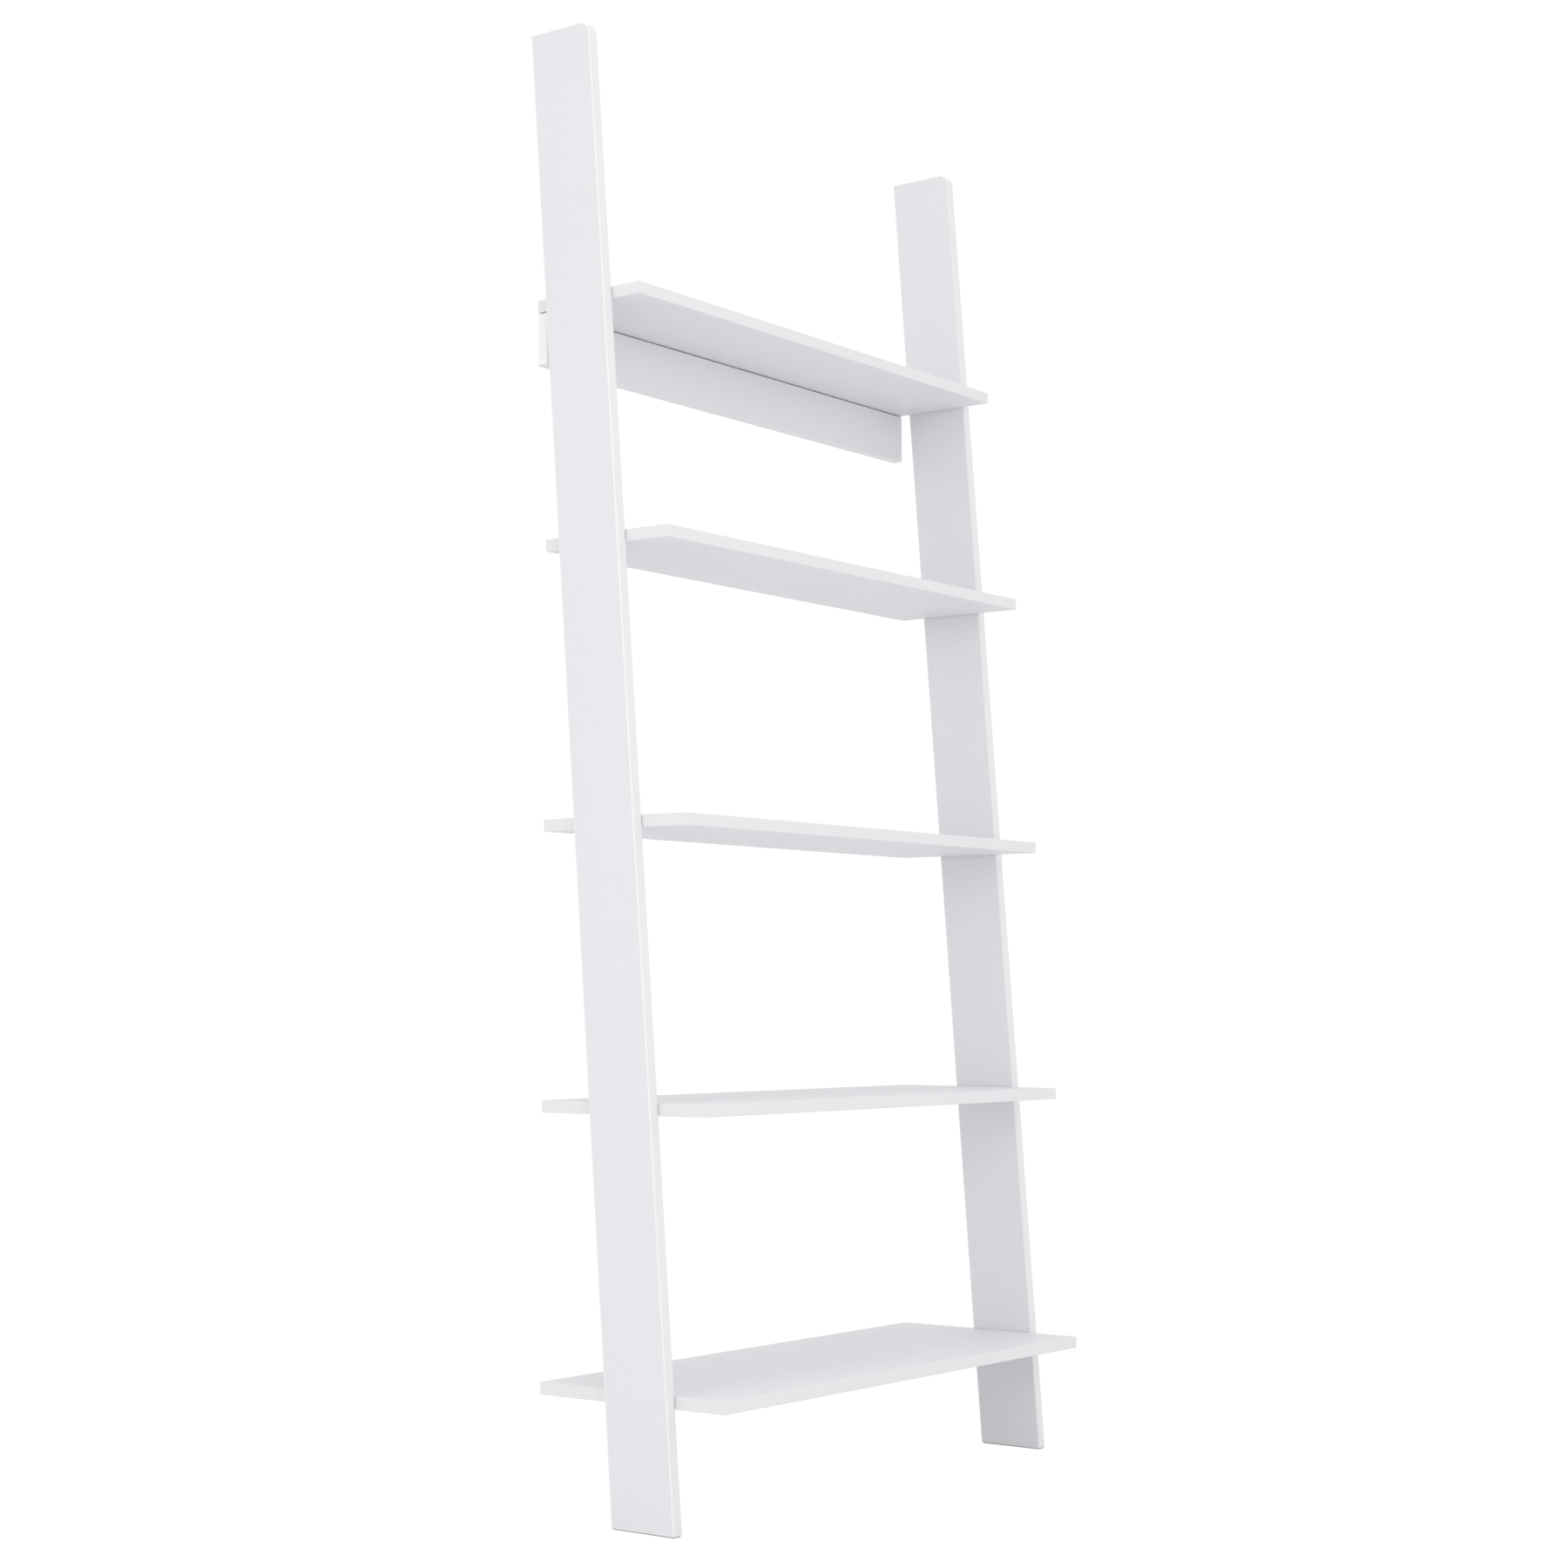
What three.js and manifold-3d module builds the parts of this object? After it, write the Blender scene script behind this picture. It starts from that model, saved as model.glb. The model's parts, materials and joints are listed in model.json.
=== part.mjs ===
// Ladder shelf: five shelves of falling depth between two side rails that lean back to the wall,
// and an upright wall rail under the top shelf. Knock-down furniture in white laminated board:
// every joint is a cam lock, a cam bolt and a fluted wooden dowel.
//
// Millimetres. +X to the right, +Y back to the wall, +Z up.
// The origin is on the floor, at the centre of the shelf's outer width and depth.
import * as THREE from "three";
import { mergeVertices } from "three/addons/utils/BufferGeometryUtils.js";
import Module from "manifold-3d";

const wasm = await Module();
wasm.setup();

// ---- Driving dimensions -------------------------------------------------------------------------

const HEIGHT = 1800;
const CLEAR_WIDTH = 772; // between the side rails
const BOARD = 15; // thickness of every board
const EDGE_ROUND = 1; // radius on the edge banding
const SHELF_END_GAP = 1; // from each end of a shelf to the side rail
const WALL_RAIL_GAP = 1.2; // from the wall rail up to the top shelf
const BORE_GAP = 0.3; // round everything that sits in a bore

const RAIL_WIDTH = 93; // across the rail, square to its length
const LEAN = THREE.MathUtils.degToRad(4.51);
const RAIL_TOP_RADIUS = 15; // front corner of the top end

// From the floor to the underside, lowest shelf first, and each shelf's depth.
const SHELVES = [
  { underside: 141.5, depth: 280.5 },
  { underside: 475.5, depth: 251 },
  { underside: 813.5, depth: 221.5 },
  { underside: 1156, depth: 192 },
  { underside: 1455, depth: 163 },
];
const WALL_SETBACK = 15.5; // from the wall to the back edge of every shelf but the top one
const WALL_RAIL_HEIGHT = 66;
const WALL_RAIL_JOINT_X = 230; // from the middle to each joint of the wall rail

const DOWEL_SPACING = 32; // from the cam bolt to the dowel beside it
const CAM_BACKSET = 34; // from the end of the board to the cam's centre

const CAM = { radius: 7.35, height: 11.4, recess: 1.2, cavityRadius: 4.7, eccentricity: 0.8 };
const CROSS_DEPTH = 2; // of the cross recess in a cam's open face
const BOLT = { threadRadius: 3, threadLength: 11, collarRadius: 3.7, shankRadius: 3, headRadius: 3.4 };
const DOWEL = { radius: 4, length: 30, inRail: 10, flutes: 8, fluteDepth: 0.4 };
const CAP = { radius: 7.35, thickness: 0.9, stemRadius: 1.5, stemLength: 2 };
const PAD = { thickness: 0.8, glueLine: 0.1, inset: EDGE_ROUND, cornerRadius: 2 };

// ---- Derived dimensions -------------------------------------------------------------------------

const WALL_Y = (SHELVES[0].depth + WALL_SETBACK) / 2;
const INNER_X = CLEAR_WIDTH / 2; // inner face of a side rail
const SHELF_LENGTH = CLEAR_WIDTH - 2 * SHELF_END_GAP;
const RAIL_DEPTH = RAIL_WIDTH / Math.cos(LEAN); // measured along the floor
const RAIL_FOOT = PAD.thickness + PAD.glueLine; // height of the rail's lower end
const TOP_SHELF = SHELVES[SHELVES.length - 1];

// The rail's back edge meets the wall at the very top.
const railBackY = (z) => WALL_Y - (HEIGHT - z) * Math.tan(LEAN);
const railMiddleY = (z) => railBackY(z) - RAIL_DEPTH / 2;

// ---- Materials ----------------------------------------------------------------------------------

const material = (color, roughness, metalness) =>
  new THREE.MeshStandardMaterial({ color, roughness, metalness });

const WHITE_LAMINATE = material(0xf1f1f3, 0.45, 0);
const ZINC = material(0xb4b5b3, 0.4, 1);
const STEEL = material(0xc3c4c6, 0.3, 1);
const BEECH = material(0xd6b184, 0.7, 0);
const WHITE_PLASTIC = material(0xefeff1, 0.5, 0);
const GREY_PLASTIC = material(0x8d8d90, 0.6, 0);

// ---- Solids -------------------------------------------------------------------------------------

// A closed geometry as a manifold-3d solid.
function solidOf(geometry) {
  const bare = geometry.clone();
  bare.deleteAttribute("normal");
  bare.deleteAttribute("uv");
  const merged = mergeVertices(bare, 1e-4);
  return new wasm.Manifold(
    new wasm.Mesh({
      numProp: 3,
      vertProperties: new Float32Array(merged.attributes.position.array),
      triVerts: new Uint32Array(merged.index.array),
    }),
  );
}

// A manifold-3d solid as a flat-shaded geometry.
function geometryOf(solid) {
  const mesh = solid.getMesh();
  const geometry = new THREE.BufferGeometry()
    .setAttribute("position", new THREE.BufferAttribute(mesh.vertProperties, 3))
    .setIndex(new THREE.BufferAttribute(mesh.triVerts, 1))
    .toNonIndexed();
  geometry.computeVertexNormals();
  return geometry;
}

const moved = (solid, matrix) => solid.transform(matrix.elements);

// The solid of a plain cylinder lying along X, from x0 to x1.
function barAlongX(radius, x0, x1, segments) {
  const geometry = new THREE.CylinderGeometry(radius, radius, x1 - x0, segments);
  geometry.rotateZ(-Math.PI / 2).translate((x0 + x1) / 2, 0, 0);
  return solidOf(geometry);
}

// The solid of a plain cylinder standing along Z, from z0 to z1.
function barAlongZ(radius, z0, z1, segments) {
  const geometry = new THREE.CylinderGeometry(radius, radius, z1 - z0, segments);
  geometry.rotateX(Math.PI / 2).translate(0, 0, (z0 + z1) / 2);
  return solidOf(geometry);
}

// A turned piece: its profile is a list of [radius, height] that starts and ends on the axis.
function turned(profile, segments) {
  const points = profile.map(([radius, height]) => new THREE.Vector2(radius, height));
  return new THREE.LatheGeometry(points, segments);
}

// A flat board from an outline, BOARD thick, with every edge rounded.
function boardFrom(outline) {
  const geometry = new THREE.ExtrudeGeometry(outline, {
    depth: BOARD - 2 * EDGE_ROUND,
    bevelEnabled: true,
    bevelThickness: EDGE_ROUND,
    bevelSize: EDGE_ROUND,
    bevelOffset: -EDGE_ROUND,
    bevelSegments: 2,
    curveSegments: 6,
  });
  return geometry.translate(0, 0, EDGE_ROUND);
}

// A rectangular outline centred on X, from y 0 to the given depth.
function rectangle(length, depth) {
  const half = length / 2;
  return new THREE.Shape([
    new THREE.Vector2(-half, 0),
    new THREE.Vector2(half, 0),
    new THREE.Vector2(half, depth),
    new THREE.Vector2(-half, depth),
  ]);
}

// ---- Side rails ---------------------------------------------------------------------------------

// The rail's side view, depth across and height up: both ends are cut level,
// and the front corner of the top is an arc.
function railOutline() {
  const frontY = (z) => railBackY(z) - RAIL_DEPTH;
  const cornerY = frontY(HEIGHT);
  // The corner is 90 degrees plus the lean, so the arc starts this far from it on each edge.
  const tangent = RAIL_TOP_RADIUS / Math.tan((Math.PI / 2 + LEAN) / 2);
  const centre = new THREE.Vector2(cornerY + tangent, HEIGHT - RAIL_TOP_RADIUS);
  const outline = new THREE.Shape();
  outline.moveTo(frontY(RAIL_FOOT), RAIL_FOOT);
  outline.lineTo(railBackY(RAIL_FOOT), RAIL_FOOT);
  outline.lineTo(railBackY(HEIGHT), HEIGHT);
  outline.lineTo(centre.x, HEIGHT);
  outline.absarc(centre.x, centre.y, RAIL_TOP_RADIUS, Math.PI / 2, Math.PI - LEAN, false);
  outline.closePath();
  return outline;
}

// ---- Fasteners, in the joint's own frame --------------------------------------------------------
//
// A joint's origin is on the face that the jointed board butts against. +X runs into that board,
// the cam's open face looks along -Z, and the dowel lies beside the bolt along Y.

// Cam bolt: a thread in the rail, then a collar, a shank, a thin neck and the head.
function camBolt() {
  const rings = 3;
  const pitch = (BOLT.threadLength - 2) / rings;
  const root = BOLT.threadRadius - 0.6;
  const profile = [
    [0, -BOLT.threadLength],
    [root, -BOLT.threadLength + 1],
  ];
  for (let ring = 0; ring < rings; ring += 1) {
    const start = -BOLT.threadLength + 1 + ring * pitch;
    profile.push([BOLT.threadRadius, start + pitch / 2], [root, start + pitch]);
  }
  profile.push(
    [root, 0.3],
    [BOLT.collarRadius, 0.3],
    [BOLT.collarRadius, 3],
    [BOLT.shankRadius, 4],
    [BOLT.shankRadius, CAM_BACKSET - 6.4],
    [2, CAM_BACKSET - 5.6],
    [2, CAM_BACKSET - 3],
    [BOLT.headRadius, CAM_BACKSET - 2],
    [BOLT.headRadius, CAM_BACKSET + 1.2],
    [2.2, CAM_BACKSET + 2.4],
    [0, CAM_BACKSET + 2.4],
  );
  return turned(profile, 10).rotateZ(-Math.PI / 2);
}

// Cam lock: a short drum with an eccentric cavity for the bolt's head, a mouth the head enters by,
// a slot that the neck runs in as the cam turns, and a cross recess in its open face.
function camLock() {
  const bottom = -BOARD / 2 + CAM.recess;
  const top = bottom + CAM.height;
  const slotRadius = CAM.radius + 1;
  const slot = new THREE.Shape();
  slot.moveTo(-1, 0);
  slot.absarc(0, 0, slotRadius, Math.PI, Math.PI * 1.75, false);
  slot.closePath();
  const slotHeight = 2 * 2.4;
  const neckSlot = new THREE.ExtrudeGeometry(slot, {
    depth: slotHeight,
    bevelEnabled: false,
    curveSegments: 4,
  }).translate(0, 0, -slotHeight / 2);
  let solid = barAlongZ(CAM.radius, bottom, top, 20)
    .subtract(barAlongZ(CAM.cavityRadius, -3.7, top + 1, 16).translate([CAM.eccentricity, 0, 0]))
    .subtract(barAlongX(3.8, -CAM.radius - 1, 0, 12))
    .subtract(solidOf(neckSlot))
    .subtract(barAlongZ(CAP.stemRadius + BORE_GAP, bottom - 1, bottom + CROSS_DEPTH, 10));
  for (const [x, y] of [
    [6.4, 1.3],
    [1.3, 6.4],
  ]) {
    const arm = new THREE.BoxGeometry(x, y, 2 * CROSS_DEPTH).translate(0, 0, bottom);
    solid = solid.subtract(solidOf(arm));
  }
  return geometryOf(solid).translate(CAM_BACKSET, 0, 0);
}

// Dowel: a fluted pin with a chamfer at each end.
function dowel() {
  const chamfer = 1;
  const outline = new THREE.Shape();
  for (let i = 0; i < 2 * DOWEL.flutes; i += 1) {
    const angle = (i * Math.PI) / DOWEL.flutes;
    const radius = i % 2 ? DOWEL.radius - DOWEL.fluteDepth : DOWEL.radius;
    const point = [radius * Math.cos(angle), radius * Math.sin(angle)];
    if (i === 0) outline.moveTo(...point);
    else outline.lineTo(...point);
  }
  outline.closePath();
  return new THREE.ExtrudeGeometry(outline, {
    depth: DOWEL.length - 2 * chamfer,
    bevelEnabled: true,
    bevelThickness: chamfer,
    bevelSize: chamfer,
    bevelOffset: -chamfer,
    bevelSegments: 1,
  })
    .translate(0, 0, chamfer - DOWEL.inRail)
    .rotateY(Math.PI / 2);
}

// Cap: a thin disc that closes the cam's bore flush with the board, with a stem that presses
// into the cam's recess.
function camCap() {
  const face = -BOARD / 2;
  const inside = face + CAP.thickness;
  return turned(
    [
      [0, face],
      [CAP.radius - 0.2, face],
      [CAP.radius, face + 0.2],
      [CAP.radius, inside],
      [CAP.stemRadius, inside],
      [CAP.stemRadius, inside + CAP.stemLength],
      [0, inside + CAP.stemLength],
    ],
    20,
  )
    .rotateX(Math.PI / 2)
    .translate(CAM_BACKSET, 0, 0);
}

// Everything that a joint drills out of the two boards that meet in it.
function jointBores(dowelSide) {
  const camBoreDepth = CAM.recess + CAM.height + 0.4;
  const camBore = barAlongZ(CAM.radius + BORE_GAP, -BOARD / 2 - 1, -BOARD / 2 + camBoreDepth, 20);
  const dowelEnd = DOWEL.length - DOWEL.inRail;
  return barAlongX(BOLT.threadRadius + BORE_GAP, -BOLT.threadLength - 0.5, 1, 12)
    .add(barAlongX(BOLT.collarRadius + BORE_GAP, 0, CAM_BACKSET, 16))
    .add(camBore.translate([CAM_BACKSET, 0, 0]))
    .add(
      barAlongX(DOWEL.radius + BORE_GAP, -DOWEL.inRail - 0.5, dowelEnd + 0.5, 16).translate([
        0,
        dowelSide * DOWEL_SPACING,
        0,
      ]),
    );
}

// Foot pad: a thin strip glued under a rail's foot, with rounded corners.
function footPad() {
  const radius = PAD.cornerRadius;
  const x = BOARD / 2 - PAD.inset - radius;
  const y = RAIL_DEPTH / 2 - PAD.inset - radius;
  const outline = new THREE.Shape();
  outline.absarc(x, y, radius, 0, Math.PI / 2, false);
  outline.absarc(-x, y, radius, Math.PI / 2, Math.PI, false);
  outline.absarc(-x, -y, radius, Math.PI, Math.PI * 1.5, false);
  outline.absarc(x, -y, radius, Math.PI * 1.5, Math.PI * 2, false);
  outline.closePath();
  return new THREE.ExtrudeGeometry(outline, {
    depth: PAD.thickness,
    bevelEnabled: false,
    curveSegments: 6,
  });
}

// ---- Where the joints are -----------------------------------------------------------------------

const axis = (x, y, z) => new THREE.Vector3(x, y, z);
const frame = (x, y, z, origin) => new THREE.Matrix4().makeBasis(x, y, z).setPosition(origin);

const joints = [];

// Each end of a shelf butts against a side rail. The cam bolt is behind the rail's middle line
// and the dowel is in front of it, and the cams open on the shelf's underside.
SHELVES.forEach(({ underside }, index) => {
  const z = underside + BOARD / 2;
  const boltY = railMiddleY(z) + DOWEL_SPACING / 2;
  for (const [side, sign] of [
    ["left", -1],
    ["right", 1],
  ]) {
    joints.push({
      label: `shelf_${index + 1}_${side}`,
      boards: [`${side}_side_rail`, `shelf_${index + 1}`],
      dowelSide: sign,
      capped: true,
      matrix: frame(axis(-sign, 0, 0), axis(0, -sign, 0), axis(0, 0, 1), axis(sign * INNER_X, boltY, z)),
    });
  }
});

// The wall rail hangs under the top shelf, and its cams open on the face that lies on the wall.
for (const [side, sign] of [
  ["left", -1],
  ["right", 1],
]) {
  joints.push({
    label: `wall_rail_${side}`,
    boards: [`shelf_${SHELVES.length}`, "wall_rail"],
    dowelSide: -sign,
    capped: false,
    matrix: frame(
      axis(0, 0, -1),
      axis(1, 0, 0),
      axis(0, -1, 0),
      axis(sign * WALL_RAIL_JOINT_X, WALL_Y - BOARD / 2, TOP_SHELF.underside),
    ),
  });
}

// ---- Assembly -----------------------------------------------------------------------------------

const ladderShelf = new THREE.Group();

function place(parent, name, geometry, surface, matrix) {
  const mesh = new THREE.Mesh(geometry, surface);
  mesh.name = name;
  matrix.decompose(mesh.position, mesh.quaternion, mesh.scale);
  parent.add(mesh);
  return mesh;
}

// Adds a board, less the bores of every joint that it belongs to.
function addBoard(name, geometry, matrix) {
  const toBoard = matrix.clone().invert();
  let solid = solidOf(geometry);
  for (const joint of joints.filter(({ boards }) => boards.includes(name))) {
    const inBoard = toBoard.clone().multiply(joint.matrix);
    solid = solid.subtract(moved(jointBores(joint.dowelSide), inBoard));
  }
  place(ladderShelf, name, geometryOf(solid), WHITE_LAMINATE, matrix);
}

// A rail's outline lies in the upright plane of depth and height.
for (const [side, outerX] of [
  ["left", -INNER_X - BOARD],
  ["right", INNER_X],
]) {
  const upright = frame(axis(0, 1, 0), axis(0, 0, 1), axis(1, 0, 0), axis(outerX, 0, 0));
  addBoard(`${side}_side_rail`, boardFrom(railOutline()), upright);
}

SHELVES.forEach(({ underside, depth }, index) => {
  const backY = WALL_Y - (underside === TOP_SHELF.underside ? 0 : WALL_SETBACK);
  const level = new THREE.Matrix4().setPosition(0, backY - depth, underside);
  addBoard(`shelf_${index + 1}`, boardFrom(rectangle(SHELF_LENGTH, depth)), level);
});

addBoard(
  "wall_rail",
  boardFrom(rectangle(SHELF_LENGTH, WALL_RAIL_HEIGHT)),
  frame(
    axis(-1, 0, 0),
    axis(0, 0, 1),
    axis(0, 1, 0),
    axis(0, WALL_Y - BOARD, TOP_SHELF.underside - WALL_RAIL_GAP - WALL_RAIL_HEIGHT),
  ),
);

for (const { label, dowelSide, capped, matrix } of joints) {
  const joint = new THREE.Group();
  matrix.decompose(joint.position, joint.quaternion, joint.scale);
  const here = new THREE.Matrix4();
  const beside = new THREE.Matrix4().setPosition(0, dowelSide * DOWEL_SPACING, 0);
  place(joint, `cam_bolt_${label}`, camBolt(), STEEL, here);
  place(joint, `cam_lock_${label}`, camLock(), ZINC, here);
  place(joint, `dowel_${label}`, dowel(), BEECH, beside);
  if (capped) place(joint, `cam_cap_${label}`, camCap(), WHITE_PLASTIC, here);
  ladderShelf.add(joint);
}

for (const [side, sign] of [
  ["left", -1],
  ["right", 1],
]) {
  const foot = new THREE.Matrix4().setPosition(sign * (INNER_X + BOARD / 2), railMiddleY(0), 0);
  place(ladderShelf, `foot_pad_${side}`, footPad(), GREY_PLASTIC, foot);
}

export default ladderShelf;
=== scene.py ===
"""Ladder shelf in white laminated board: boards with banded edges, fittings, floor, light, camera."""

import json
import math

import bmesh
import bpy
from mathutils import Matrix, Vector


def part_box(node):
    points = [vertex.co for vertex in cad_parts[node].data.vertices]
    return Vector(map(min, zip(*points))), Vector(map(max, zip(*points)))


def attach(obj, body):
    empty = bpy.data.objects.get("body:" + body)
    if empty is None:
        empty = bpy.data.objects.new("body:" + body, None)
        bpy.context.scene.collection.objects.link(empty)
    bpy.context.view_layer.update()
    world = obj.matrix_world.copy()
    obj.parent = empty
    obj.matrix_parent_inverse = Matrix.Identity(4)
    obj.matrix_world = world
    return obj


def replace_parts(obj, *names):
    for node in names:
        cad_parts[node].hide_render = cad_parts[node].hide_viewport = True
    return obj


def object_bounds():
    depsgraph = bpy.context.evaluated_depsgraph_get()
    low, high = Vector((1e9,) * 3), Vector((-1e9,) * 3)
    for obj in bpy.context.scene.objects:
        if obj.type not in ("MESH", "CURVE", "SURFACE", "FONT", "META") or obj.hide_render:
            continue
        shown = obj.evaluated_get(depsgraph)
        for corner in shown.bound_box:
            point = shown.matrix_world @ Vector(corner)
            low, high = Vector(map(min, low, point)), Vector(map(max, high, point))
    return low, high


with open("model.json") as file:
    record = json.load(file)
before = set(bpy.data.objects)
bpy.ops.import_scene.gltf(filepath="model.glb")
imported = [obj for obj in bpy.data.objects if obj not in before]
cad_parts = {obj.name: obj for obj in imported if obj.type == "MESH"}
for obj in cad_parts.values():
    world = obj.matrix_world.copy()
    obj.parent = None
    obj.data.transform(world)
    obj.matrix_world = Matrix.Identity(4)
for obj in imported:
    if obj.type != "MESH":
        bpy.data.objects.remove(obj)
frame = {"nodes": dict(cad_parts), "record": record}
cad_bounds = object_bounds()

MM = 0.001

# The boards
BAND = 2.0 * MM  # thickness of the edge banding
ROUND = 1.0 * MM  # radius on the banding's two arrises
SEAM = 0.08 * MM  # chamfer on each side of a seam
ROUND_STEPS = 5
RAIL_TOP_RADIUS = 15 * MM
RAIL_TOP_STEPS = 14
SHARP = math.radians(35)  # a crease sharper than this is shaded as an edge

# The bores for the fittings
BORE_GAP = 0.3 * MM  # between a fitting and its bore
BORE_STEPS = 48
BOLT_THREADED = 11 * MM  # length of a cam bolt inside the first board
BOLT_BORE = 3.3 * MM  # radius round a bolt's thread
DOWEL_BORE = 4.3 * MM  # radius round a dowel
BORE_CLEARANCE = 0.5 * MM  # past a fitting's end, and into the gap between two boards
CAM_FLOOR = 0.4 * MM  # below a cam lock
CAM_MOUTH = 3 * MM  # past a cam lock, out of the board

# The studio
FLOOR_SIZE = 60
FLOOR_WHITENESS = 0.9  # share of the floor that the camera sees as plain white
CLEAR_WHITE = 1.05  # strength that renders as pure white
DOME = 0.87

SHELVES = [f"shelf_{number}" for number in range(1, 6)]
SIDES = ("left", "right")
WALL_RAIL_JOINTS = [f"wall_rail_{side}" for side in SIDES]


# ---- Materials ----------------------------------------------------------------------------------


class Shader:
    """A node material, built with short calls."""

    def __init__(self, name):
        self.material = bpy.data.materials.new(name)
        self.material.use_nodes = True
        self.tree = self.material.node_tree
        self.surface = self.tree.nodes["Principled BSDF"]
        self.coordinates = self.add("ShaderNodeTexCoord").outputs["Object"]

    def add(self, kind, settings=None, **inputs):
        node = self.tree.nodes.new(kind)
        for key, value in (settings or {}).items():
            setattr(node, key, value)
        for key, value in inputs.items():
            self.plug(value, node.inputs[key.replace("_", " ")])
        return node

    def plug(self, value, socket):
        if isinstance(value, bpy.types.NodeSocket):
            self.tree.links.new(value, socket)
        else:
            socket.default_value = value

    def stretched(self, scale):
        """The object's coordinates, scaled along each axis."""
        mapping = self.add("ShaderNodeMapping", Vector=self.coordinates, Scale=scale)
        return mapping.outputs["Vector"]

    def noise(self, scale, detail=2.0, roughness=0.5, vector=None):
        node = self.add(
            "ShaderNodeTexNoise",
            Vector=vector or self.coordinates,
            Scale=scale,
            Detail=detail,
            Roughness=roughness,
        )
        return node.outputs["Fac"]

    def ramp(self, value, low, high, start=0.35, end=0.65):
        """Maps a 0 to 1 value onto the range between two numbers."""
        node = self.add("ShaderNodeMapRange", {"clamp": True}, Value=value)
        self.plug(start, node.inputs["From Min"])
        self.plug(end, node.inputs["From Max"])
        self.plug(low, node.inputs["To Min"])
        self.plug(high, node.inputs["To Max"])
        return node.outputs["Result"]

    def blend(self, factor, first, second):
        node = self.add("ShaderNodeMix", {"data_type": "RGBA"})
        self.plug(factor, node.inputs["Factor"])
        self.plug(first, node.inputs["A"])
        self.plug(second, node.inputs["B"])
        return node.outputs["Result"]

    def bump(self, height, distance, strength=1.0, normal=None):
        node = self.add("ShaderNodeBump", Height=height, Distance=distance, Strength=strength)
        if normal is not None:
            self.plug(normal, node.inputs["Normal"])
        return node.outputs["Normal"]

    def set(self, **inputs):
        for key, value in inputs.items():
            self.plug(value, self.surface.inputs[key.replace("_", " ")])


def colour(red, green, blue):
    """An opaque colour for a shader's socket."""
    return (red, green, blue, 1.0)


def laminate():
    """Melamine-faced board: even white, with a fine pearl grain pressed into the face."""
    shader = Shader("white_laminate")
    cloud = shader.noise(5, detail=3)
    grain = shader.noise(1400, detail=2)
    waves = shader.noise(60, detail=2)
    dull = shader.noise(38, detail=4, roughness=0.6)
    white = shader.blend(cloud, colour(0.796, 0.789, 0.817), colour(0.812, 0.805, 0.833))
    pressed = shader.bump(grain, 0.02 * MM, 0.55)
    shader.set(
        Base_Color=white,
        Roughness=shader.ramp(dull, 0.4, 0.5),
        Normal=shader.bump(waves, 0.05 * MM, 0.2, pressed),
        IOR=1.5,
    )
    return shader.material


def banding(name, low, high):
    """Extruded plastic banding: a little glossier than the face, with faint lines along it."""
    shader = Shader(name)
    cloud = shader.noise(9, detail=2)
    lines = shader.noise(1.0, detail=2, vector=shader.stretched((60, 900, 900)))
    fine = shader.noise(2100, detail=1)
    shader.set(
        Base_Color=shader.blend(cloud, low, high),
        Roughness=shader.ramp(shader.noise(70, detail=3), 0.3, 0.38),
        Normal=shader.bump(lines, 0.01 * MM, 0.35, shader.bump(fine, 0.01 * MM, 0.3)),
        IOR=1.5,
    )
    return shader


def rail_banding(outer_face):
    """The side rails' banding, with a painted highlight: whiter along the front arris of the outer
    face.
    """
    shader = banding("rail_banding", colour(0.842, 0.840, 0.849), colour(0.857, 0.855, 0.862))
    plain = shader.surface.inputs["Base Color"].links[0].from_socket
    place = shader.add("ShaderNodeSeparateXYZ", Vector=shader.coordinates)
    normal = shader.add("ShaderNodeNewGeometry").outputs["Normal"]
    facing = shader.add("ShaderNodeSeparateXYZ", Vector=normal)
    outward = shader.add("ShaderNodeMath", {"operation": "ABSOLUTE"}, Value=place.outputs["X"])
    # Painted highlight: white over the rounding's outer part, and only where it faces forwards.
    highlight_from = outer_face - ROUND
    highlight_full = outer_face - 0.7 * ROUND
    highlight_at_arris = shader.ramp(outward.outputs[0], 0, 1, highlight_from, highlight_full)
    highlight_facing_front = shader.ramp(facing.outputs["Y"], 1, 0, -0.3, -0.1)
    painted_highlight = shader.add("ShaderNodeMath", {"operation": "MULTIPLY"})
    shader.plug(highlight_at_arris, painted_highlight.inputs[0])
    shader.plug(highlight_facing_front, painted_highlight.inputs[1])
    # The painted highlight's near-white colour.
    white = colour(0.93, 0.93, 0.935)
    shader.set(Base_Color=shader.blend(painted_highlight.outputs[0], plain, white))
    return shader.material


def zinc():
    """Die-cast zinc: dull grey skin with flow marks and small pits."""
    shader = Shader("die_cast_zinc")
    flow = shader.noise(160, detail=4, roughness=0.6)
    pits = shader.noise(1600, detail=2)
    shader.set(
        Base_Color=shader.blend(flow, colour(0.46, 0.47, 0.47), colour(0.62, 0.62, 0.60)),
        Metallic=1.0,
        Roughness=shader.ramp(flow, 0.34, 0.52),
        Normal=shader.bump(pits, 0.05 * MM, 0.5),
    )
    return shader.material


def plated_steel():
    """Turned steel under bright zinc plating."""
    shader = Shader("plated_steel")
    turning = shader.noise(1.0, detail=2, vector=shader.stretched((5200, 300, 300)))
    haze = shader.noise(220, detail=3)
    shader.set(
        Base_Color=shader.blend(haze, colour(0.60, 0.61, 0.63), colour(0.72, 0.72, 0.71)),
        Metallic=1.0,
        Roughness=shader.ramp(haze, 0.2, 0.34),
        Normal=shader.bump(turning, 0.01 * MM, 0.5),
    )
    return shader.material


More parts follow.
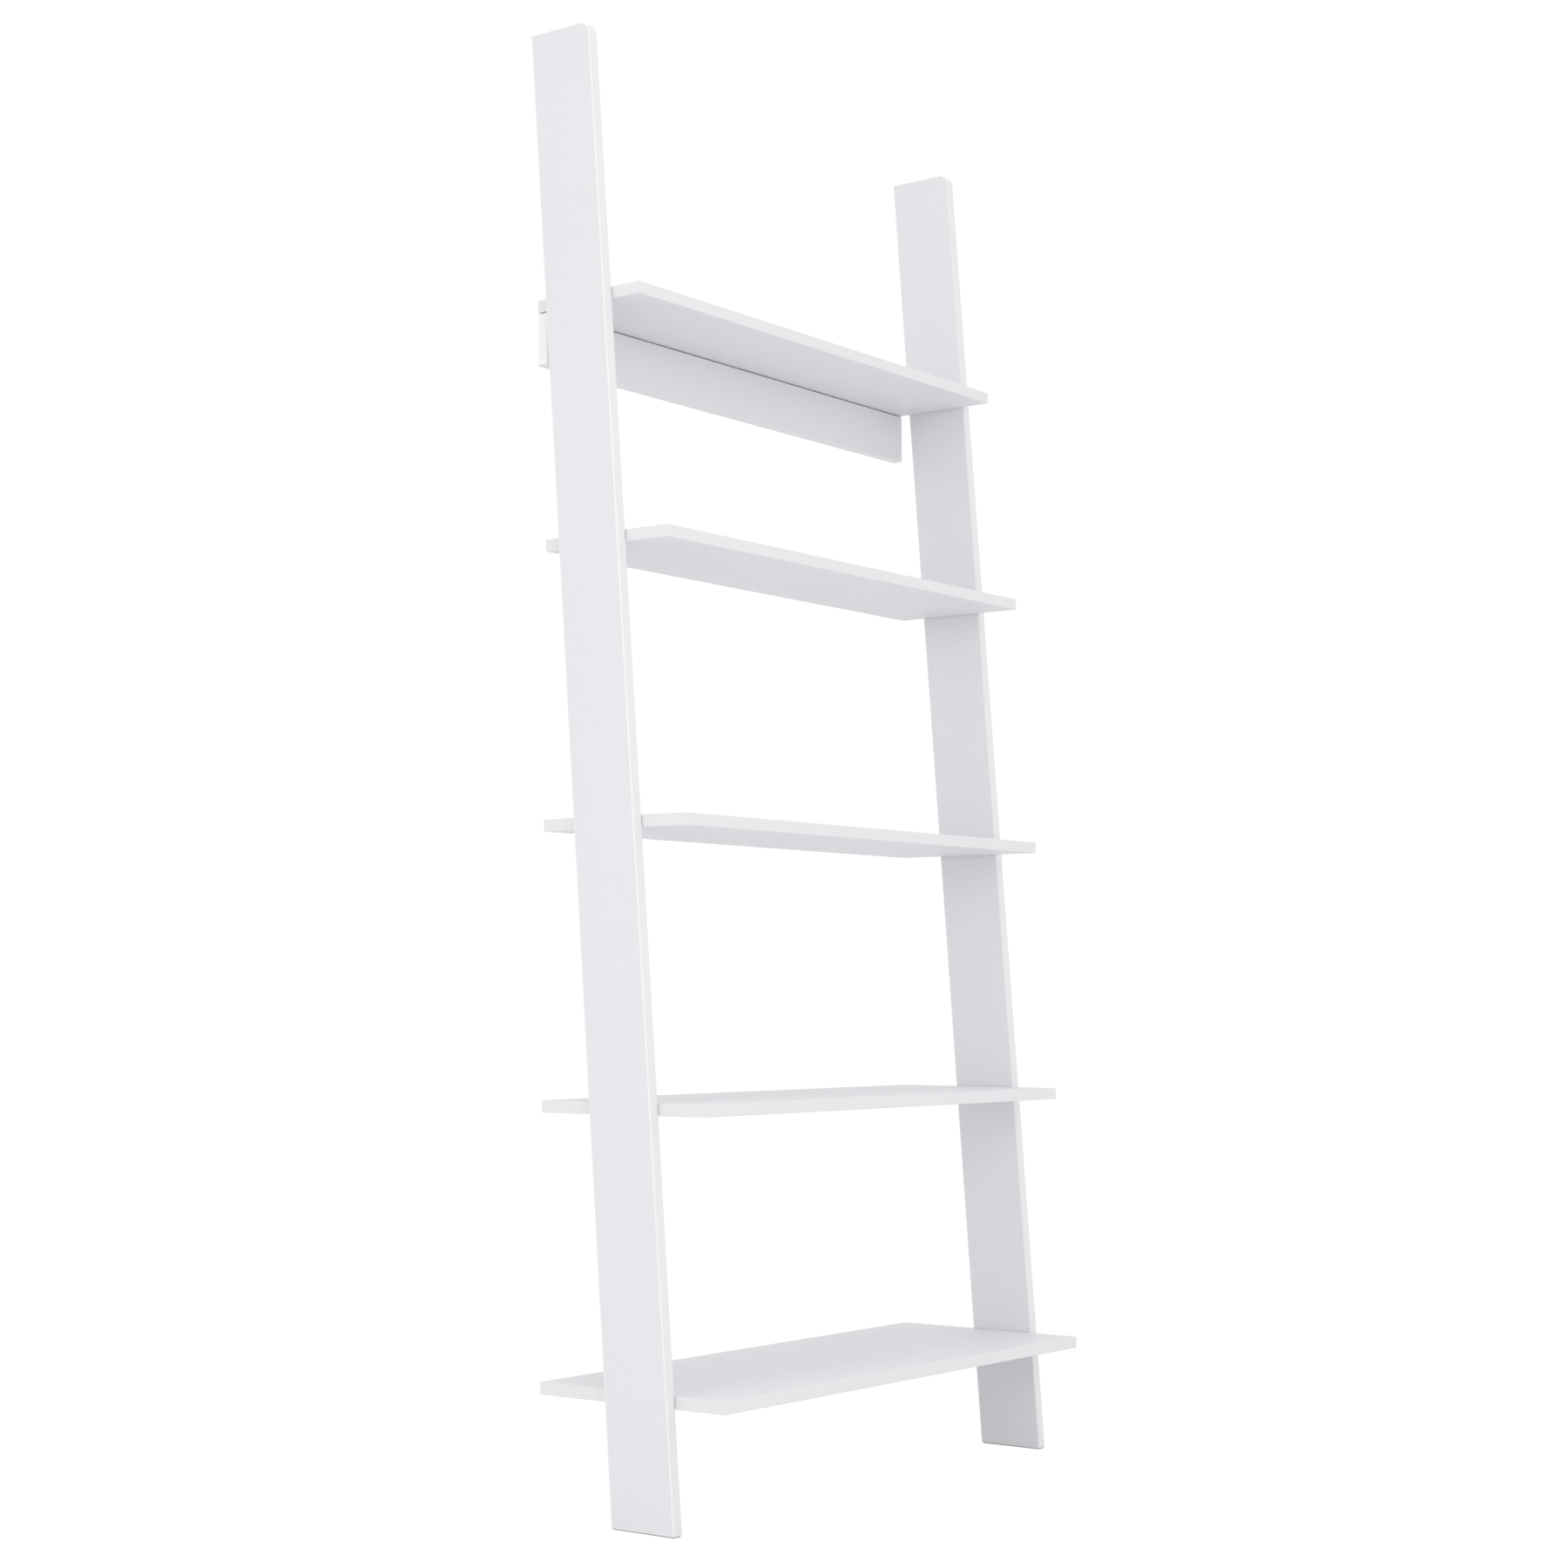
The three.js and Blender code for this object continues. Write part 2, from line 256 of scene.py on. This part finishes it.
def beech():
    """Beech: pale pink-brown with short dark rays along the pin."""
    shader = Shader("beech")
    fibres = shader.noise(1.0, detail=5, roughness=0.6, vector=shader.stretched((90, 1500, 1500)))
    rays = shader.noise(1.0, detail=1, vector=shader.stretched((420, 2600, 2600)))
    wood = shader.blend(fibres, colour(0.53, 0.33, 0.17), colour(0.74, 0.53, 0.33))
    shader.set(
        Base_Color=shader.blend(shader.ramp(rays, 0, 0.6, 0.62, 0.7), wood, colour(0.36, 0.2, 0.1)),
        Roughness=shader.ramp(fibres, 0.55, 0.75),
        Normal=shader.bump(fibres, 0.08 * MM, 0.6),
    )
    return shader.material


def moulded(name, low, high, roughness):
    """Moulded plastic with a spark-eroded skin."""
    shader = Shader(name)
    skin = shader.noise(2600, detail=2)
    cloud = shader.noise(80, detail=2)
    shader.set(
        Base_Color=shader.blend(cloud, low, high),
        Roughness=shader.ramp(cloud, roughness, roughness + 0.1),
        Normal=shader.bump(skin, 0.02 * MM, 0.6),
    )
    return shader.material


def seen_white(tree, surface, share):
    """Turns a share of a surface, or the backdrop, to plain white for the camera alone."""
    path = tree.nodes.new("ShaderNodeLightPath")
    amount = tree.nodes.new("ShaderNodeMath")
    amount.operation = "MULTIPLY"
    amount.inputs[1].default_value = share
    white = tree.nodes.new("ShaderNodeEmission")
    white.inputs["Strength"].default_value = CLEAR_WHITE
    mix = tree.nodes.new("ShaderNodeMixShader")
    tree.links.new(path.outputs["Is Camera Ray"], amount.inputs[0])
    tree.links.new(amount.outputs[0], mix.inputs["Fac"])
    tree.links.new(surface, mix.inputs[1])
    tree.links.new(white.outputs[0], mix.inputs[2])
    return mix.outputs[0]


def studio_floor():
    """Matt pale floor that reads as nearly white, with a faint shadow."""
    shader = Shader("pale_floor")
    cloud = shader.noise(0.7, detail=2)
    shader.set(
        Base_Color=shader.blend(cloud, colour(0.90, 0.90, 0.905), colour(0.91, 0.91, 0.915)),
        Roughness=0.8,
        Normal=shader.bump(shader.noise(500, detail=2), 0.1 * MM, 0.2),
    )
    output = shader.tree.nodes["Material Output"].inputs["Surface"]
    white = seen_white(shader.tree, shader.surface.outputs[0], FLOOR_WHITENESS)
    shader.tree.links.new(white, output)
    return shader.material


MATERIALS = {
    "white_laminate": laminate(),
    "zinc": zinc(),
    "bright_steel": plated_steel(),
    "beech": beech(),
    "white_plastic": moulded(
        "white_plastic", colour(0.78, 0.78, 0.795), colour(0.8, 0.8, 0.812), 0.42
    ),
    "grey_plastic": moulded("grey_plastic", colour(0.3, 0.3, 0.31), colour(0.34, 0.34, 0.35), 0.5),
}
# Painted light: the rails' banding is a slightly whiter, lit copy of the shelves' banding, which is
# the same plastic.
SHELF_BANDING = banding(
    "shelf_banding", colour(0.816, 0.810, 0.830), colour(0.831, 0.825, 0.844)
).material
RAIL_BANDING = rail_banding(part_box("right_side_rail")[1].x)
# Painted highlight: the wall rail's end banding is painted whiter than the same plastic elsewhere.
END_BANDING_PAINTED_BRIGHT = banding("end_banding_painted_highlight", colour(0.925, 0.925, 0.93), colour(0.94, 0.94, 0.945)).material


# ---- Meshes -------------------------------------------------------------------------------------


def object_from(name, mesh_builder, material):
    """Makes a piece of the object from a bmesh: closed, outward, and smooth only over arcs."""
    bmesh.ops.remove_doubles(mesh_builder, verts=mesh_builder.verts, dist=1e-7)
    bmesh.ops.dissolve_degenerate(mesh_builder, edges=mesh_builder.edges, dist=1e-7)
    bmesh.ops.recalc_face_normals(mesh_builder, faces=mesh_builder.faces)
    mesh = bpy.data.meshes.new(name)
    mesh_builder.to_mesh(mesh)
    mesh_builder.free()
    mesh.shade_smooth()
    mesh.set_sharp_from_angle(angle=SHARP)
    mesh.materials.append(material)
    piece = bpy.data.objects.new(name, mesh)
    bpy.context.scene.collection.objects.link(piece)
    weighted = piece.modifiers.new("even_faces", "WEIGHTED_NORMAL")
    weighted.keep_sharp = True
    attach(piece, "root")
    return piece


def loft(sections, closed=False):
    """Skins a list of equal loops of points, with an end face on each end unless it is closed."""
    builder = bmesh.new()
    rings = [[builder.verts.new(point) for point in section] for section in sections]
    count = len(rings[0])
    pairs = list(zip(rings, rings[1:]))
    if closed:
        pairs.append((rings[-1], rings[0]))
    for ring, following in pairs:
        for i in range(count):
            j = (i + 1) % count
            builder.faces.new((ring[i], ring[j], following[j], following[i]))
    if not closed:
        builder.faces.new(rings[0])
        builder.faces.new(reversed(rings[-1]))
    return builder


def turned(profile, steps, place):
    """A turned solid round Z from [radius, height] pairs, with a flat face at each end."""
    sections = []
    for radius, height in profile:
        ring = []
        for step in range(steps):
            angle = 2 * math.pi * step / steps
            ring.append(place @ Vector((radius * math.cos(angle), radius * math.sin(angle), height)))
        sections.append(ring)
    return loft(sections)


# ---- Boards -------------------------------------------------------------------------------------


class Board:
    """A board lying in the plane of two directions, with its thickness along the third."""

    def __init__(self, name, across, along, through, origin):
        self.name = name
        self.axes = (Vector(across), Vector(along), Vector(through))
        self.origin = Vector(origin)
        low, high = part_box(name)
        self.thickness = abs((high - low).dot(self.axes[2]))

    def point(self, place, height):
        across, along, through = self.axes
        return self.origin + across * place[0] + along * place[1] + through * height


def inward(previous, here, following):
    """How far a corner of an anticlockwise outline moves for each unit that its two edges move in."""
    first = (here - previous).normalized()
    second = (following - here).normalized()
    normal_1 = Vector((-first.y, first.x))
    normal_2 = Vector((-second.y, second.x))
    return (normal_1 + normal_2) / (1 + normal_1.dot(normal_2))


def band_section(thickness, inset):
    """The banding's cross-section as [depth, height] pairs, drawn in by inset at a rounded end."""
    radius = ROUND - inset
    steps = [math.pi / 2 * step / ROUND_STEPS for step in range(ROUND_STEPS + 1)]
    arc = [(ROUND - radius * math.sin(a), ROUND - radius * math.cos(a)) for a in steps]
    lower = [(BAND, inset + SEAM), (BAND - SEAM, inset), *arc]
    upper = [(depth, thickness - height) for depth, height in reversed(lower)]
    return lower + upper


def rounded_end(place, forward, turn, radius):
    """The stations that round off the end of a strip, from its end face inwards."""
    stations = []
    for step in range(ROUND_STEPS + 1):
        angle = math.pi / 2 * step / ROUND_STEPS
        along = forward * radius * (1 - math.cos(angle))
        stations.append((place + along, turn, radius * (1 - math.sin(angle))))
    return stations


def band_strip(board, label, path, end_cuts, exposed, material):
    """A strip of banding along a path of the outline. Each end is cut along its own inward vector,
    and an exposed end is rounded like the arrises."""
    radii = [ROUND if shown else SEAM for shown in exposed]
    first = rounded_end(path[0], (path[1] - path[0]).normalized(), end_cuts[0], radii[0])
    last = rounded_end(path[-1], (path[-2] - path[-1]).normalized(), end_cuts[1], radii[1])
    middle = [
        (here, inward(before, here, after), 0.0)
        for before, here, after in zip(path, path[1:], path[2:])
    ]
    sections = [
        [board.point(place + turn * d, h) for d, h in band_section(board.thickness, inset)]
        for place, turn, inset in first + middle + last[::-1]
    ]
    return object_from(f"{board.name}_band_{label}", loft(sections), material)


def panel_mesh(board, outline):
    """The laminated panel inside the banding, with a fine chamfer along every seam."""
    count = len(outline)
    turns = [inward(outline[i - 1], outline[i], outline[(i + 1) % count]) for i in range(count)]
    levels = [
        (BAND + SEAM, 0.0),
        (BAND, SEAM),
        (BAND, board.thickness - SEAM),
        (BAND + SEAM, board.thickness),
    ]
    sections = [
        [board.point(place + turn * inset, height) for place, turn in zip(outline, turns)]
        for inset, height in levels
    ]
    return loft(sections)


def panel(board, outline):
    """The panel as a piece, in place of the board's plain CAD node."""
    made = object_from(
        f"{board.name}_panel",
        panel_mesh(board, outline),
        MATERIALS["white_laminate"],
    )
    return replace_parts(made, board.name)


def banded_rectangle(board, width, height, end_material, exposed):
    """A rectangular board with the long strips lapping over the ends of the short ones."""
    across, along = Vector((1, 0)), Vector((0, 1))
    corners = [Vector((0, 0)), across * width, across * width + along * height, along * height]
    right = [corners[1] + along * BAND, corners[2] - along * BAND]
    left = [corners[3] - along * BAND, corners[0] + along * BAND]
    shown, hidden = (exposed, exposed), (False, False)
    return [
        panel(board, corners),
        band_strip(board, "front", corners[:2], (along, along), shown, SHELF_BANDING),
        band_strip(board, "back", corners[2:], (-along, -along), shown, SHELF_BANDING),
        band_strip(board, "right", right, (-across, -across), hidden, end_material),
        band_strip(board, "left", left, (across, across), hidden, end_material),
    ]


def banded_shelf(name):
    """A shelf: its strips end square, because the side rails stand against them."""
    low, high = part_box(name)
    board = Board(name, (1, 0, 0), (0, 1, 0), (0, 0, 1), low)
    return banded_rectangle(board, high.x - low.x, high.y - low.y, SHELF_BANDING, exposed=False)


def banded_wall_rail():
    """The wall rail, with whiter banding on its two ends: a painted highlight, brighter than the same
    banding elsewhere.
    """
    low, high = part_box("wall_rail")
    board = Board("wall_rail", (1, 0, 0), (0, 0, 1), (0, -1, 0), (low.x, high.y, low.z))
    return banded_rectangle(board, high.x - low.x, high.z - low.z, END_BANDING_PAINTED_BRIGHT, exposed=True)


def banded_side_rail(name):
    """A leaning rail: one strip runs up the front, round the top corner and along the top."""
    low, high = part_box(name)
    foot = [v.co.y for v in frame["nodes"][name].data.vertices if v.co.z - low.z < 0.01 * MM]
    height = high.z - low.z
    width = max(foot) - min(foot)
    shift = high.y - max(foot)
    lean = math.atan2(shift, height)
    front = Vector((0, 0))
    back = Vector((width, 0))
    top_back = Vector((width + shift, height))
    top_front = Vector((shift, height))
    tangent = RAIL_TOP_RADIUS / math.tan((math.pi / 2 + lean) / 2)
    centre = top_front + Vector((tangent, -RAIL_TOP_RADIUS))
    turn = math.pi / 2 - lean
    arc = []
    for step in range(RAIL_TOP_STEPS + 1):
        angle = math.pi / 2 + turn * step / RAIL_TOP_STEPS
        arc.append(centre + RAIL_TOP_RADIUS * Vector((math.cos(angle), math.sin(angle))))
    board = Board(name, (0, 1, 0), (0, 0, 1), (1, 0, 0), (low.x, min(foot), low.z))
    level = Vector((1 / math.cos(lean), 0))
    leaning = Vector((math.tan(lean), 1))
    strips = [
        ("front", [top_back, *arc, front], (-leaning, level), (True, True)),
        ("back", [back, top_back - leaning * BAND], (-level, -level), (True, False)),
        ("foot", [front + level * BAND, back - level * BAND], (leaning, leaning), (False, False)),
    ]
    return [
        panel(board, [front, back, top_back, *arc]),
        *[band_strip(board, *strip, RAIL_BANDING) for strip in strips],
    ]


# ---- Bores --------------------------------------------------------------------------------------


def bar(start, end, radius):
    """A round bore from one point to another, as its mesh and the two corners of its box."""
    direction = (end - start).normalized()
    turn = direction.to_track_quat("Z", "Y").to_matrix().to_4x4()
    length = (end - start).length
    builder = turned([(radius, 0.0), (radius, length)], BORE_STEPS, Matrix.Translation(start) @ turn)
    mesh = bpy.data.meshes.new("bore")
    bmesh.ops.recalc_face_normals(builder, faces=builder.faces)
    builder.to_mesh(mesh)
    builder.free()
    low = Vector(map(min, start, end)) - Vector((radius,) * 3)
    high = Vector(map(max, start, end)) + Vector((radius,) * 3)
    return mesh, low, high


def ends_along(node, direction):
    """The two ends of a fitting's axis along a direction."""
    low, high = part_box(node)
    middle = (low + high) / 2
    reach = direction * abs((high - low).dot(direction)) / 2
    return middle - reach, middle + reach


def joint_bores(joint, into, opening):
    """What one joint drills. `into` runs from the first board into the second, and `opening` is the
    way that the cam's bore opens."""
    past = into * BORE_CLEARANCE
    bolt_start, bolt_end = ends_along(f"cam_bolt_{joint}", into)
    dowel_start, dowel_end = ends_along(f"dowel_{joint}", into)
    cam_start, cam_end = ends_along(f"cam_lock_{joint}", opening)
    bolt_low, bolt_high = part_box(f"cam_bolt_{joint}")
    cam_low, cam_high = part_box(f"cam_lock_{joint}")
    collar = sorted(bolt_high - bolt_low)[0] / 2 + BORE_GAP
    drum = sorted(cam_high - cam_low)[2] / 2 + BORE_GAP
    between_boards = bolt_start + into * BOLT_THREADED + past
    return [
        bar(bolt_start - past, between_boards, BOLT_BORE),
        bar(between_boards, bolt_end, collar),
        bar(dowel_start - past, dowel_end + past, DOWEL_BORE),
        bar(cam_start - opening * CAM_FLOOR, cam_end + opening * CAM_MOUTH, drum),
    ]


def all_bores():
    """Every joint's bores: the shelves' cams open downwards, the wall rail's open to the wall."""
    bores = []
    for shelf in SHELVES:
        bores += joint_bores(f"{shelf}_left", Vector((1, 0, 0)), Vector((0, 0, -1)))
        bores += joint_bores(f"{shelf}_right", Vector((-1, 0, 0)), Vector((0, 0, -1)))
    for joint in WALL_RAIL_JOINTS:
        bores += joint_bores(joint, Vector((0, 0, -1)), Vector((0, 1, 0)))
    return bores


def weld(mesh):
    """Joins the corners that a cut leaves almost on top of each other."""
    same_corner = 0.002 * MM
    no_length = 0.001 * MM
    builder = bmesh.new()
    builder.from_mesh(mesh)
    bmesh.ops.remove_doubles(builder, verts=builder.verts, dist=same_corner)
    bmesh.ops.dissolve_degenerate(builder, edges=builder.edges, dist=no_length)
    builder.to_mesh(mesh)
    builder.free()


def drill(piece, bores):
    """Cuts the bores that reach a piece out of its mesh."""
    corners = [Vector(corner) for corner in piece.bound_box]
    low = Vector(map(min, *corners))
    high = Vector(map(max, *corners))
    reaching = [
        mesh
        for mesh, bore_low, bore_high in bores
        if all(bore_low[i] < high[i] and bore_high[i] > low[i] for i in range(3))
    ]
    if not reaching:
        return
    finish = piece.modifiers["even_faces"]
    finish.show_viewport = False
    for mesh in reaching:
        cutter = bpy.data.objects.new("cutter", mesh)
        bpy.context.scene.collection.objects.link(cutter)
        cut = piece.modifiers.new("cut", "BOOLEAN")
        cut.solver = "EXACT"
        cut.object = cutter
        evaluated = piece.evaluated_get(bpy.context.evaluated_depsgraph_get())
        drilled = bpy.data.meshes.new_from_object(evaluated)
        piece.modifiers.remove(cut)
        piece.data = drilled
        bpy.data.objects.remove(cutter)
    finish.show_viewport = True
    weld(piece.data)
    piece.data.shade_smooth()
    piece.data.set_sharp_from_angle(angle=SHARP)


# ---- Assembly -----------------------------------------------------------------------------------

for entry in frame["record"]["subparts"]:
    node = frame["nodes"][entry["node"]]
    node.data.materials.clear()
    node.data.materials.append(MATERIALS[entry["material_slot"]])

board_pieces = banded_wall_rail()
for shelf in SHELVES:
    board_pieces += banded_shelf(shelf)
for side in SIDES:
    board_pieces += banded_side_rail(f"{side}_side_rail")

bores = all_bores()
for piece in board_pieces:
    drill(piece, bores)


# ---- Floor, light and camera --------------------------------------------------------------------


def floor(size):
    """The studio's level floor, square and centred under the object."""
    builder = bmesh.new()
    bmesh.ops.create_grid(builder, x_segments=8, y_segments=8, size=size / 2)
    mesh = bpy.data.meshes.new("floor")
    builder.to_mesh(mesh)
    builder.free()
    mesh.materials.append(studio_floor())
    ground = bpy.data.objects.new("floor", mesh)
    bpy.context.scene.collection.objects.link(ground)


def area_light(name, place, target, size, power):
    """A round soft light that points at a target."""
    light = bpy.data.lights.new(name, "AREA")
    light.shape = "DISK"
    light.size = size
    light.energy = power
    lamp = bpy.data.objects.new(name, light)
    lamp.location = place
    lamp.rotation_euler = (Vector(target) - Vector(place)).to_track_quat("-Z", "Y").to_euler()
    bpy.context.scene.collection.objects.link(lamp)


def soft_dome(strength):
    """An even white dome of light, with a pure white backdrop for the camera."""
    world = bpy.data.worlds.new("studio")
    world.use_nodes = True
    tree = world.node_tree
    background = tree.nodes["Background"]
    background.inputs["Color"].default_value = (1, 1, 1, 1)
    background.inputs["Strength"].default_value = strength
    output = tree.nodes["World Output"].inputs["Surface"]
    tree.links.new(seen_white(tree, background.outputs[0], 1.0), output)
    bpy.context.scene.world = world


floor(FLOOR_SIZE)
soft_dome(DOME)
middle = (cad_bounds[0] + cad_bounds[1]) / 2
area_light("left", (-3.5, 0, 1.8), middle, 1.6, 7.6)
area_light("front", (0.5, -4, 1.2), middle, 1.6, 4)
area_light("top", (0, -0.5, 8), middle, 4, 58)
area_light("near_left", (-1.7, -1.8, 1.6), middle, 1.0, 6.2)
bpy.context.scene.view_settings.view_transform = "Standard"

CAMERA_PLACE = (-2.8806, -2.1074, 0.6083)
CAMERA_YAW = math.radians(53.068)  # from looking along +Y towards +X
CAMERA_PITCH = math.radians(4.506)  # upwards
CAMERA_LENS = 63.43
camera = bpy.data.cameras.new("camera")
camera.lens = CAMERA_LENS
camera.sensor_width = 36
viewer = bpy.data.objects.new("camera", camera)
viewer.location = CAMERA_PLACE
viewer.rotation_euler = (math.pi / 2 + CAMERA_PITCH, 0, -CAMERA_YAW)
bpy.context.scene.collection.objects.link(viewer)
bpy.context.scene.camera = viewer
